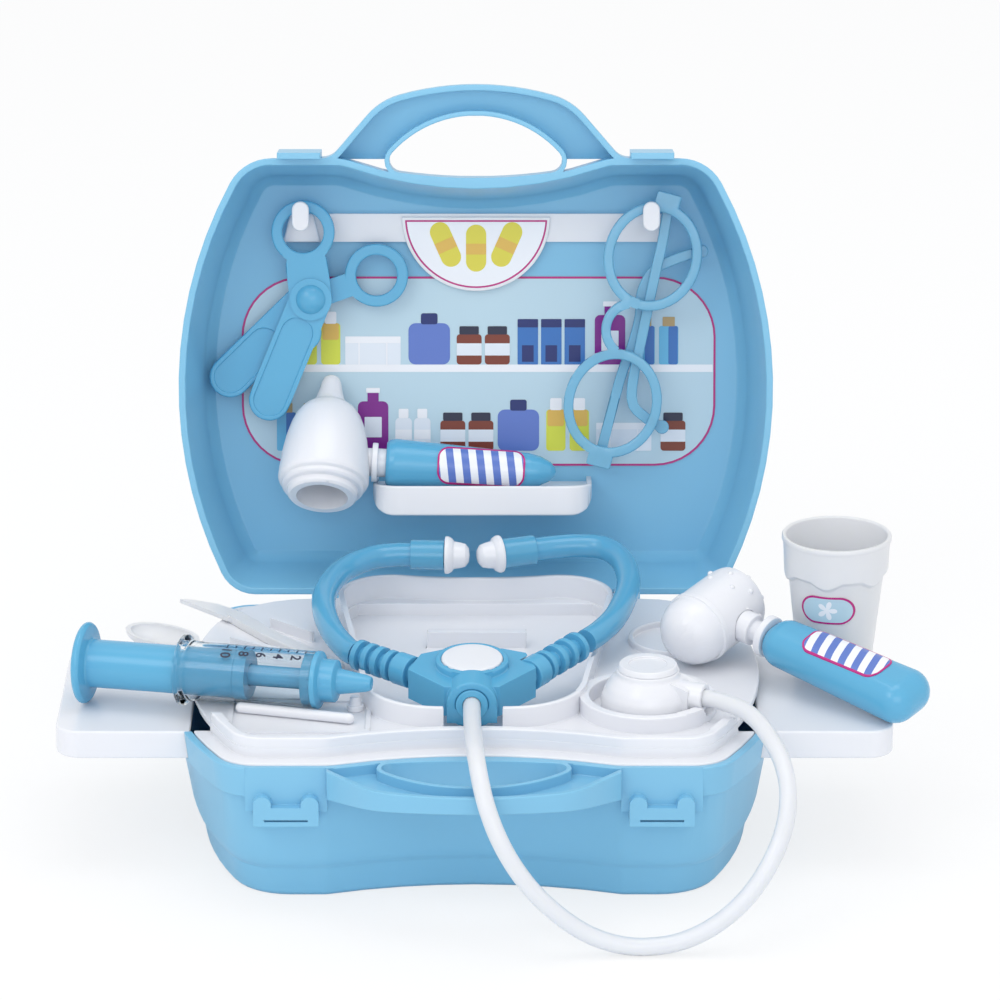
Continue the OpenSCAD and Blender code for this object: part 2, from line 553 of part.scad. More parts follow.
// ---- Stethoscope on the tray ----
module in_steth() translate([-1, hinge_y - 127, 76]) rotate([4.8, 0, 0]) children();
left_path = [[-46.9, 21.4, -0.5], [-50.6, 25.4, -0.3], [-57, 41, 0], [-61, 62, 0], [-60.5, 81, 0],
  [-54.5, 100, 0], [-43.5, 112.4, 0], [-34, 115.9, 0], [-27, 116.3, 0], [-20, 116, 0]];
right_path = [[46, 33, -0.5], [52, 41.4, -0.2], [58.6, 56, 0], [63.6, 79, 0], [64.2, 96, 0], [61.6, 112, 0],
  [55, 122.6, 0], [45, 125.2, 0], [35, 123.9, 0], [27, 121.6, 0], [21, 119.8, 0]];
hose_z = 73.4;
module at_hose(y) translate([-1, hinge_y + y, hose_z]) rotate([90, 0, 0]) children();
module steth_yoke() color(tube_blue) difference() {
  in_steth() union() {
    translate([0, 0, -8]) linear_extrude(13) polygon([[-11, -20], [11, -20], [25.5, -3], [21.5, 11],
      [12, 15], [-12, 14], [-20.5, 10], [-25.5, -4]]);
    translate([0, 0, -8]) cylinder(r = 14.6, h = 16);
    translate([0, -5, -1]) rotate([90, 0, 0]) cylinder(r = 10, h = 20);
    block(-10, 10, -25, -5, -8.6, -1);
  }
  in_steth() translate([0, 0, 6.4]) cylinder(r = 12.4, h = 3);
  in_steth() for (a = [left_arm, right_arm]) aimed(a[0], a[1], [0, 0, 1]) {
    cylinder(r = 4, h = 40);
    translate([0, 0, 6]) cylinder(r = 7, h = 30);
  }
  at_hose(-137) cylinder(r = hose_d / 2 + fit, h = 30);
  at_hose(-149) cylinder(r = 6.45, h = 30);
}
module steth_button() color(white) in_steth() translate([0, 0, 6.4]) {
  rotate_extrude($fn = 64) polygon([[0, 0], [12.3, 0], [12.3, 1.5], [11.8, 2.1], [8, 2.5], [0, 2.7]]);
}
module hose_gland() color(tube_blue) at_hose(-149) tube(6.4, hose_d / 2 + fit, 4);
// A socket, four ribs and a core that ends at the ear tube. Each arm: start, direction, pitch of its ribs.
left_arm = [[-19, 0.5, -0.5], [-0.8, 0.6, 0], 5.2];
right_arm = [[19, -3, -0.5], [0.6, 0.8, 0], 7];
module rib_arm(a) in_steth() aimed(a[0], a[1], [0, 0, 1]) {
  cylinder(r = 4, h = 18.2 + 3 * a[2]);
  translate([0, 0, 6.1]) cylinder(r = 6.6, h = 7.5);
  for (i = [0:3]) translate([0, 0, 15.6 + a[2] * i]) cylinder(r = 6.3, h = 2.6);
}
module left_rib_arm() color(tube_blue) rib_arm(left_arm);
module right_rib_arm() color(tube_blue) rib_arm(right_arm);
module left_ear_tube() color(tube_blue) in_steth() sweep(smooth(left_path, 3), ear_d / 2, [0, 0, 1]);
module right_ear_tube() color(tube_blue) in_steth() sweep(smooth(right_path, 3), ear_d / 2, [0, 0, 1]);
module ear_collar(o, d) color(clear) in_steth() aimed(o, d, [0, 0, 1]) tube(6.2, ear_d / 2 + 0.15, 14);
module left_ear_collar() ear_collar([-26.2, 116.3, 0], [1, -0.04, 0]);
module right_ear_collar() ear_collar([25.4, 121.2, 0], [-1, -0.3, 0]);
module ear_tip(o, d) color(white) in_steth() aimed(o, d, [0, 0, 1]) rotate_extrude() polygon([[0, -4],
  [3.4, -4], [3.4, 0], [7.8, 0], [7.9, 1.4], [7, 3], [5.8, 3.8], [5.4, 6.4], [4.8, 8.6], [3, 10], [0, 10.4]]);
module left_ear_tip() ear_tip([-11.9, 115.7, 0], [1, -0.04, 0]);
module right_ear_tip() ear_tip([11.6, 117, 0], [-1, -0.3, 0]);

// Route of the hose from the yoke over the front edge, past the table and back to the chest piece.
hose_route = [[-1, -45, 73.4], [-1, -60, 73.4], [-0.8, -75, 73.5], [-0.4, -88, 73.8], [0.2, -101, 73.6],
  [1, -112.4, 72], [2.6, -122.6, 66.8], [5.2, -130.6, 59], [9.4, -135.4, 49], [15.4, -137.4, 38],
  [23.4, -138, 27], [33, -137.8, 17.4], [43.6, -137.2, 9.6], [55, -136.8, 5], [67, -136.5, 3.7],
  [81, -136, 6], [94.5, -134.6, 12.8], [106, -132, 23], [114.6, -127.4, 35], [120.2, -119.6, 46.6],
  [122, -109, 56.6], [120.2, -97, 64.4], [116, -85.4, 69.6], [111.6, -75, 72.6], [106.4, -66, 74],
  [100, -58.4, 74.1], [94, -53.7, 74], [89, -51.3, 74], [84.5, -49.3, 74]];
module hose() color(milky) sweep(smooth(hose_route, 3), hose_d / 2, [1, 0, 0], 14);

chest_o = [69, hinge_y - 136, deck_z];
chest_dir = [0.914, -0.407, 0];
module chest_dome() color(white) difference() {
  union() {
    translate(chest_o) rotate_extrude($fn = 64) polygon([[0, 0], [17.8, 0], [18.7, 0.9], [18.7, 4.4], [18, 7.5],
      [16.4, 11], [14.2, 14], [12.9, 15.4], [12.5, 17.4], [0, 17.4]]);
    aimed([chest_o[0], chest_o[1], 74], chest_dir, [0, 0, 1]) {
      cylinder(r = 5.6, h = 24.6);
      translate([0, 6.2, 0]) rotate([90, 0, 0]) linear_extrude(12.4)
        polygon([[-6, 9], [6.6, 9], [6.2, 12.4], [3.8, 19.5], [-6, 19.5]]);
    }
  }
  translate(chest_o - [0, 0, 1]) cylinder(r = 16.6, h = 2.5);
  translate(chest_o + [0, 0, 16.4]) cylinder(r = 8, h = 3);
  aimed([chest_o[0], chest_o[1], 74], chest_dir, [0, 0, 1]) translate([0, 0, 16])
    cylinder(r = hose_d / 2 + fit, h = 12);
}
module chest_cap() color(white) translate(chest_o + [0, 0, 16.4]) difference() {
  union() {
    cylinder(r = 7.9, h = 1);
    translate([0, 0, 1]) cylinder(r1 = 12.3, r2 = 11.4, h = 2.4);
  }
  translate([0, 0, 2.6]) cylinder(r = 7.6, h = 2);
}
module chest_diaphragm() color(white) translate(chest_o + [0, 0, 0.3]) cylinder(r = 16.5, h = 1.2);

// ---- Reflex hammer ----
ham_o = [98.6, hinge_y - 76.4, 83.8];
ham_h = [0.766, -0.622, -0.142];
ham_a = [0.693, 0.695, 0.19];
module in_hammer() aimed(ham_o, ham_h, ham_a) children();
module hammer_head() color(white) in_hammer() rotate([0, 90, 0]) difference() {
  union() {
    translate([0, 0, -28.3]) rotate_extrude($fn = 64) polygon([[0, 0], [5, 0.9], [9.2, 3.1], [12.4, 6.6],
      [14.1, 10.8], [14.4, 14.6], [15.2, 14.8], [15.2, 17.2], [14.8, 17.4], [14.8, 38.6], [14.2, 42.1],
      [12, 44.1], [8.6, 45], [0, 45]]);
    for (i = [0:7]) rotate([0, 0, 45 * i + 22]) translate([14.4, 0, 3]) sphere(r = 1.2, $fn = 16);
    for (i = [0:7]) rotate([0, 0, 45 * i]) translate([14.6, 0, 9]) sphere(r = 1.2, $fn = 16);
    for (i = [0:7]) rotate([0, 0, 45 * i + 22]) translate([12.6, 0, 14.4]) sphere(r = 1.2, $fn = 16);
    for (i = [0:5]) rotate([0, 0, 60 * i]) translate([7, 0, 16.4]) sphere(r = 1.2, $fn = 16);
  }
  rotate([0, -90, 0]) translate([0, 0, 8]) cylinder(r = 5, h = 12);
  rotate([0, -90, 0]) translate([0, 0, 13.4]) cylinder(r = 6.9, h = 12);
}
module hammer_neck() color(white) in_hammer() {
  translate([0, 0, 8]) cylinder(r = 5, h = 8);
  translate([0, 0, 13.6]) cylinder(r = 6.6, h = 6);
  translate([0, 0, 19]) cylinder(r = 4.4, h = 7);
  translate([0, 0, 25]) cylinder(r = 8.6, h = 3);
}
module grip(r, w0, w1, z0, z1) hull() {
  for (s = [-1, 1]) translate([s * w0, 0, z0]) sphere(r = r, $fn = 32);
  for (s = [-1, 1]) translate([s * w1, 0, z1]) sphere(r = r + 0.2, $fn = 32);
}
module hammer_handle() color(case_blue) in_hammer() difference() {
  grip(9.2, 1.6, 3.8, 36, 93);
  translate([-20, -20, 0]) cube([40, 40, 28]);
}
module hammer_sticker() color(pink) in_hammer() difference() {
  intersection() {
    grip(9.55, 1.6, 3.8, 36, 93);
    translate([0, 0, 66]) rotate([-90, 0, 0]) rounded(-8, 8, -19, 19, 5, 0, 20);
  }
  grip(9.2, 1.6, 3.8, 36, 93);
}

// ---- Syringe ----
syr_o = [-156.3, hinge_y - 114.5, 76.9];
syr_d = [-40.7, hinge_y - 143, 78.8] - syr_o;
module in_syringe() aimed(syr_o, syr_d, [0, 0, 1]) children();
bore = 10.2;
core_r = 4.2;
module syringe_barrel() color(clear) in_syringe() rotate_extrude($fn = 64) polygon([[bore, 40], [13.4, 40],
  [14.3, 40.8], [14.3, 42.4], [13.4, 43.2], [12.3, 44], [11.8, 50], [11.4, 94], [11.4, 96], [bore, 96]]);
module syringe_plunger() color(case_blue) in_syringe() {
  rotate_extrude($fn = 64) polygon([[0, -1.6], [15.2, -1.6], [16.3, -0.6], [16.5, 0.6], [15.6, 1.8],
    [plunger_d / 2 + 0.5, 2.4], [plunger_d / 2, 3], [plunger_d / 2, 64], [core_r + 0.4, 64], [core_r + 0.4, 20],
    [0, 20]]);
}
module plunger_seal() color(case_blue) in_syringe() translate([0, 0, 64])
  tube(bore - fit, core_r + 0.4, 5, $fn = 64);
// The tip, with a core that the hollow plunger slides over.
module syringe_tip() color(case_blue) in_syringe() rotate_extrude($fn = 48) polygon([[0, 44], [core_r, 44],
  [core_r, 97.4], [bore - 0.1, 97.4], [bore - 0.1, 92], [bore, 92], [bore, 96], [11.6, 96], [11.6, 98],
  [8.7, 99], [8.5, 104.6], [5.2, 105.6], [3.4, 117], [2.6, 119], [0, 119.2]]);

// ---- Small tools in the tray ----
module knife() color(white) in_case() translate([0, 0, deck_z + 0.05]) {
  bar([-100, -36], [-84, -60], 3.2, 3.4);
  bar([-84, -60], [-56, -94.6], 3, 3.4);
  translate([0, 0, 1]) linear_extrude(1.8) polygon([[-124, -17], [-118, -17.8], [-108, -22.4], [-100.5, -29],
    [-96.4, -36.6], [-98, -40.4], [-102.6, -39.6], [-112, -29.6]]);
}
module spoon() color(white) in_case() {
  translate([0, 0, deck_z + 0.05]) bar([-114, -68], [-72, -99.5], 2.8, 2.4);
  translate([-129, -56.6, 0]) rotate([0, 0, -36.5]) difference() {
    translate([0, 0, 67.4]) scale([1.75, 1, 0.7]) sphere(r = 10.2, $fn = 40);
    translate([0, 0, 67.6]) scale([1.75, 1, 0.7]) sphere(r = 8.8, $fn = 40);
    translate([-30, -20, 67.6]) cube([60, 40, 20]);
  }
}
module thermometer() color(white) in_case() aimed([-93, -139.5, deck_z + 2.2], [43.3, -12, 0], [0, 0, 1]) {
  cylinder(r = 2.15, h = 45);
  sphere(r = 2.15, $fn = 24);
  translate([0, 0, 45]) sphere(r = 2.15, $fn = 24);
}
module specimen_peg() color(white) in_case() translate([-47.6, -136.5, deck_z]) {
  cylinder(r = 3.4, h = 2.4);
  translate([0, 0, 2.4]) cylinder(r1 = 2.6, r2 = 1.9, h = 3.4);
}

// ---- Cup ----
cup_o = [147, hinge_y - 74, wing_z1];
module cup() color(milky) translate(cup_o) difference() {
  union() {
    cylinder(r1 = 15, r2 = 21.2, h = cup_h, $fn = 72);
    translate([0, 0, cup_h - 2.4]) cylinder(r = 22.3, h = 2.4, $fn = 72);
    translate([0, 0, cup_h - 14]) cylinder(r1 = 20.4, r2 = 21.8, h = 14, $fn = 72);
  }
  translate([0, 0, 1.6]) cylinder(r1 = 15.1 - cup_w, r2 = 21.3 - cup_w, h = cup_h, $fn = 72);
}
module cup_sticker() color(pink) translate(cup_o) intersection() {
  difference() {
    cylinder(r1 = 15.4, r2 = 21.6, h = cup_h, $fn = 72);
    cylinder(r1 = 15.06, r2 = 21.26, h = cup_h, $fn = 72);
  }
  rotate([0, 0, -14]) translate([0, 0, 30.5]) rotate([90, 0, 0]) union() {
    block(-5, 5, -6, 6, 0, 30);
    for (s = [-1, 1]) translate([s * 5, 0, 0]) cylinder(r = 6, h = 30);
  }
}

base_shell();
tray_panel();
left_hinge_pin();
right_hinge_pin();
lid_shell();
hook_rail();
badge();
shelf_card();
lid_shelf();
left_wing();
right_wing();
scissors_front();
scissors_back();
scissors_cap();
glasses_frame();
upper_temple();
lower_temple();
otoscope_head();
otoscope_handle();
otoscope_sticker();
steth_yoke();
steth_button();
left_rib_arm();
right_rib_arm();
left_ear_tube();
right_ear_tube();
left_ear_collar();
right_ear_collar();
left_ear_tip();
right_ear_tip();
hose_gland();
hose();
chest_dome();
chest_cap();
chest_diaphragm();
hammer_head();
hammer_neck();
hammer_handle();
hammer_sticker();
syringe_barrel();
syringe_plunger();
plunger_seal();
syringe_tip();
knife();
spoon();
thermometer();
specimen_peg();
cup();
cup_sticker();
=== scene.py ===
import json
import math
import bmesh
import bpy
from mathutils import Matrix, Vector
from mathutils.bvhtree import BVHTree
from mathutils.geometry import intersect_point_line


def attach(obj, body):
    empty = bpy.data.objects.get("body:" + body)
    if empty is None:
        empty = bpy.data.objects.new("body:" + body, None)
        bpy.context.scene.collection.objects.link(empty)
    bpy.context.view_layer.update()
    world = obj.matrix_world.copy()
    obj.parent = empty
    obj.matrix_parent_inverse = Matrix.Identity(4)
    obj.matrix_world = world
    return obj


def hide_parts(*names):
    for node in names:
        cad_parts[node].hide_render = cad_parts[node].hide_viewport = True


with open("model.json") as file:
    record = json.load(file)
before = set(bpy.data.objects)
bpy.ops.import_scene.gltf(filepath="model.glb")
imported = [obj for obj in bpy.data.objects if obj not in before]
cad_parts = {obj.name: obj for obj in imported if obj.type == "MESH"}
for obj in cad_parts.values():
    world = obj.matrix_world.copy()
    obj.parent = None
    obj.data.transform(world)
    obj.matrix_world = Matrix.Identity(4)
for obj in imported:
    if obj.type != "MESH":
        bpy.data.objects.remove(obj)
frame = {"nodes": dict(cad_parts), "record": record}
nodes = frame["nodes"]
nodeBody = {n: b for b, names in frame["record"]["behaviour"]["bodies"].items() for n in names}
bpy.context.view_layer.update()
mm = 0.001
print("frame loaded:", len(nodes), "CAD nodes")

# ---- camera: stands in front of the case and a little above it ----
camera = {"place": (0.01015, -2.10435, 0.877), "pitchDown": 19.33, "lens": 199.85}
bpy.ops.object.camera_add(location=camera["place"], rotation=(math.radians(90 - camera["pitchDown"]), 0, 0))
cameraObject = bpy.context.object
cameraObject.data.lens = camera["lens"]
cameraObject.data.sensor_width = 36
cameraObject.data.clip_end = 20
bpy.context.scene.camera = cameraObject


# ---- small helpers ----
def srgb(hexColour, alpha=1.0):
    parts = [int(hexColour[i:i + 2], 16) / 255 for i in (1, 3, 5)]
    return [p / 12.92 if p <= 0.04045 else ((p + 0.055) / 1.055) ** 2.4 for p in parts] + [alpha]


def addNode(tree, kind, values=None, links=None, **settings):
    node = tree.nodes.new(kind)
    for name, value in settings.items():
        setattr(node, name, value)
    for name, value in (values or {}).items():
        node.inputs[name].default_value = value
    for name, source in (links or {}).items():
        tree.links.new(source, node.inputs[name])
    return node


def onlyThis(piece):
    bpy.ops.object.select_all(action="DESELECT")
    piece.select_set(True)
    bpy.context.view_layer.objects.active = piece


def editing(piece, mode="FACE"):
    onlyThis(piece)
    bpy.ops.object.mode_set(mode="EDIT")
    bpy.ops.mesh.select_mode(type=mode)
    bpy.ops.mesh.select_all(action="SELECT")


def doneEditing():
    bpy.ops.object.mode_set(mode="OBJECT")


def bakePlace(piece, place=None):
    if place is not None:
        piece.matrix_world = place
    onlyThis(piece)
    bpy.ops.object.transform_apply(location=True, rotation=True, scale=True)
    return piece


def applyModifiers(piece):
    onlyThis(piece)
    for modifier in list(piece.modifiers):
        bpy.ops.object.modifier_apply(modifier=modifier.name)


def smoothShading(piece, angle=35):
    onlyThis(piece)
    bpy.ops.object.shade_smooth_by_angle(angle=math.radians(angle))
    weighted = piece.modifiers.new("weightedNormals", "WEIGHTED_NORMAL")
    weighted.keep_sharp = True
    applyModifiers(piece)


def finishPiece(piece, body, material=None, replaced=()):
    if material is not None:
        piece.data.materials.clear()
        piece.data.materials.append(material)
    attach(piece, body)
    if replaced:
        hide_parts(*replaced)
    return piece


def aimed(origin, zAxis, xAxis):
    z = Vector(zAxis).normalized()
    x = Vector(xAxis)
    x = (x - x.dot(z) * z).normalized()
    y = z.cross(x)
    turn = Matrix((x, y, z)).transposed().to_4x4()
    return Matrix.Translation(Vector(origin) * mm) @ turn


# the lid's own axes: x across, y up the lid, z towards the viewer
lidPlace = {"hingeY": 93.65, "rimZ": 60.5, "lean": 12, "panel": -35.5}
inLid = (Matrix.Translation((0, lidPlace["hingeY"] * mm, lidPlace["rimZ"] * mm))
         @ Matrix.Rotation(math.radians(90 - lidPlace["lean"]), 4, "X"))


# ---- materials ----
def plastic(name, colour, roughness, clear=0.0, soft=0.0, ior=1.5, grain=0.9, depth=0.004, tint=0.02):
    material = bpy.data.materials.new(name)
    material.use_nodes = True
    tree = material.node_tree
    tree.nodes.clear()
    place = addNode(tree, "ShaderNodeTexCoord").outputs["Object"]
    # the mould's fine skin, grain millimetres across, and a slow drift of colour over the piece
    skin = addNode(tree, "ShaderNodeTexNoise", {"Scale": 1000 / grain, "Detail": 2.0}, {"Vector": place})
    drift = addNode(tree, "ShaderNodeTexNoise", {"Scale": 22.0, "Detail": 1.0}, {"Vector": place})
    shift = addNode(tree, "ShaderNodeMapRange", {"To Min": 1 - tint, "To Max": 1 + tint},
                    {"Value": drift.outputs["Fac"]})
    colourNode = addNode(tree, "ShaderNodeHueSaturation", {"Color": srgb(colour)}, {"Value": shift.outputs["Result"]})
    gloss = addNode(tree, "ShaderNodeMapRange", {"To Min": roughness * 0.9, "To Max": roughness * 1.1},
                    {"Value": skin.outputs["Fac"]})
    bump = addNode(tree, "ShaderNodeBump", {"Strength": 0.2, "Distance": depth * mm},
                   {"Height": skin.outputs["Fac"]})
    surface = addNode(tree, "ShaderNodeBsdfPrincipled",
                      {"IOR": ior, "Transmission Weight": clear, "Subsurface Weight": soft,
                       "Subsurface Radius": (0.004, 0.004, 0.005), "Subsurface Scale": 1.0},
                      {"Base Color": colourNode.outputs["Color"], "Roughness": gloss.outputs["Result"],
                       "Normal": bump.outputs["Normal"]})
    addNode(tree, "ShaderNodeOutputMaterial", None, {"Surface": surface.outputs["BSDF"]})
    return material


# ABS, injection moulded in a polished mould: even sky blue with a soft gloss
caseBlue = plastic("mouldedAbsSkyBlue", "#7cbbdc", 0.3, soft=0.05)
# the same ABS in the instruments, a little deeper
toolBlue = plastic("mouldedAbsToolBlue", "#5aa9d0", 0.22, soft=0.05)
# high-impact polystyrene, white, polished mould
whiteShell = plastic("mouldedPolystyreneWhite", "#e4e6ec", 0.26, soft=0.08, tint=0.01)
# tinted polystyrene of the spectacles: light passes the thin rims
frameBlue = plastic("mouldedTintedPolystyreneBlue", "#7fc4e6", 0.14, clear=0.3, ior=1.55)
# soft PVC of the ear tubes and their sleeves, tinted and a little see-through
tubeBlue = plastic("extrudedPvcBlue", "#62b4dd", 0.16, clear=0.22, soft=0.1, ior=1.53)
# crystal polystyrene of the syringe barrel, with a low index so that its thin wall stays bright
crystal = plastic("mouldedCrystalPolystyrene", "#f4fafd", 0.03, clear=1.0, ior=1.3, depth=0.002, tint=0.005)
# soft PVC hose, milky and slightly see-through
milkyHose = plastic("extrudedPvcMilky", "#e6e9ee", 0.3, clear=0.12, soft=0.25, ior=1.52, tint=0.015)
# polypropylene cup, natural: milky white, waxy gloss
milkyCup = plastic("mouldedPolypropyleneNatural", "#eceef2", 0.3, clear=0.18, soft=0.2, ior=1.49, tint=0.01)
print("plastics ready")


# printed vinyl: flat ink colours under a thin gloss film
inkColours = {
    "magenta": "#b8207c", "purple": "#7c1288", "sky": "#b9d4e2", "white": "#eceff5", "royal": "#5c78c4",
    "navy": "#12286b", "cobalt": "#2f6fb8", "brown": "#7a3526", "tan": "#b49a6c", "yellow": "#d9cf4a",
    "lime": "#d3da45", "ochre": "#dcb455", "pale": "#dfe7f1", "aqua": "#5fb4dc", "black": "#1c2340"}


def inkOf(name):
    key = "printedInk" + name.capitalize()
    if key in bpy.data.materials:
        return bpy.data.materials[key]
    return plastic(key, inkColours[name], 0.3, ior=1.47, grain=0.25, depth=0.004, tint=0.02)


def stickerMaterial(name, place, core, radius, line, motif):
    material = plastic(name, inkColours["white"], 0.25, ior=1.47, grain=0.25, depth=0.004, tint=0.02)
    tree = material.node_tree
    surface = next(n for n in tree.nodes if n.type == "BSDF_PRINCIPLED")
    coordinate = next(n for n in tree.nodes if n.type == "TEX_COORD")
    local = addNode(tree, "ShaderNodeMapping",
                    {"Location": place.to_translation(), "Rotation": place.to_euler(), "Scale": (mm, mm, mm)},
                    {"Vector": coordinate.outputs["Object"]}, vector_type="TEXTURE")
    parts = addNode(tree, "ShaderNodeSeparateXYZ", None, {"Vector": local.outputs["Vector"]})
    along, across = parts.outputs["X"], parts.outputs["Y"]

    def maths(operation, first, second=None, third=None):
        node = addNode(tree, "ShaderNodeMath", operation=operation)
        for socket, value in zip(node.inputs, (first, second, third)):
            if isinstance(value, (int, float)):
                socket.default_value = value
            elif value is not None:
                tree.links.new(value, socket)
        return node.outputs[0]

    # distance from the rectangle between the corners' centres, then a line of ink along the edge
    past = maths("MAXIMUM", maths("SUBTRACT", maths("ABSOLUTE", along), core[0]), 0.0)
    over = maths("MAXIMUM", maths("SUBTRACT", maths("ABSOLUTE", across), core[1]), 0.0)
    away = maths("SQRT", maths("ADD", maths("MULTIPLY", past, past), maths("MULTIPLY", over, over)))
    edge = maths("GREATER_THAN", away, radius - line)
    if motif["kind"] == "stripes":
        slanted = maths("MULTIPLY_ADD", across, motif["slant"], along)
        band = maths("FRACT", maths("ADD", maths("DIVIDE", slanted, motif["pitch"]), 100.25))
        pattern = maths("GREATER_THAN", band, 0.5)
    else:
        distance = maths("SQRT", maths("ADD", maths("MULTIPLY", along, along), maths("MULTIPLY", across, across)))
        turn = maths("ARCTAN2", across, along)
        petal = maths("MULTIPLY_ADD", maths("ABSOLUTE", maths("COSINE", maths("MULTIPLY", turn, motif["petals"] / 2))),
                      motif["reach"] - motif["core"], motif["core"])
        pattern = maths("LESS_THAN", distance, petal)
    inside = addNode(tree, "ShaderNodeMix", None, {"Factor": pattern}, data_type="RGBA")
    inside.inputs["A"].default_value = srgb(inkColours[motif["ground"]])
    inside.inputs["B"].default_value = srgb(inkColours[motif["figure"]])
    outlined = addNode(tree, "ShaderNodeMix", None, {"Factor": edge}, data_type="RGBA")
    tree.links.new(inside.outputs["Result"], outlined.inputs["A"])
    outlined.inputs["B"].default_value = srgb(inkColours["magenta"])
    tree.links.new(outlined.outputs["Result"], surface.inputs["Base Color"])
    return material


# ---- hose: PVC tube, one smooth curve from the yoke over the front edge to the chest piece ----
hose = {"diameter": 7.0, "length": 0.349, "points": [
    (-1, -45, 73.4), (-1, -60, 73.4), (-0.8, -75, 73.5), (-0.4, -88, 73.8), (0.2, -101, 73.6),
    (1, -112.4, 72), (2.6, -122.6, 66.8), (5.2, -130.6, 59), (9.4, -135.4, 49), (15.4, -137.4, 38),
    (23.4, -138, 27), (33, -137.8, 17.4), (43.6, -137.2, 9.6), (55, -136.8, 5), (67, -136.5, 3.7),
    (81, -136, 6), (94.5, -134.6, 12.8), (106, -132, 23), (114.6, -127.4, 35), (120.2, -119.6, 46.6),
    (122, -109, 56.6), (120.2, -97, 64.4), (116, -85.4, 69.6), (111.6, -75, 72.6), (106.4, -66, 74),
    (100, -58.4, 74.1), (94, -53.7, 74), (89, -51.3, 74), (84.5, -49.3, 74)]}


def smoothTube(name, points, diameter, rings=6):
    data = bpy.data.curves.new(name, "CURVE")
    data.dimensions = "3D"
    data.bevel_depth = diameter / 2
    data.bevel_resolution = rings
    data.resolution_u = 8
    data.use_fill_caps = True
    spline = data.splines.new("BEZIER")
    spline.bezier_points.add(len(points) - 1)
    for i, knot in enumerate(spline.bezier_points):
        before, after = points[max(i - 1, 0)], points[min(i + 1, len(points) - 1)]
        reach = (Vector(after) - Vector(before)) / 6
        knot.handle_left_type = knot.handle_right_type = "FREE"
        knot.co = points[i]
        knot.handle_left = Vector(points[i]) - reach
        knot.handle_right = Vector(points[i]) + reach
    tube = bpy.data.objects.new(name, data)
    bpy.context.scene.collection.objects.link(tube)
    return tube


hosePoints = [[c * mm for c in p] for p in hose["points"]]
hoseTube = smoothTube("hoseTube", hosePoints, hose["diameter"] * mm)
finishPiece(hoseTube, "stethoscope", milkyHose, ["hose"])
print("hose laid")


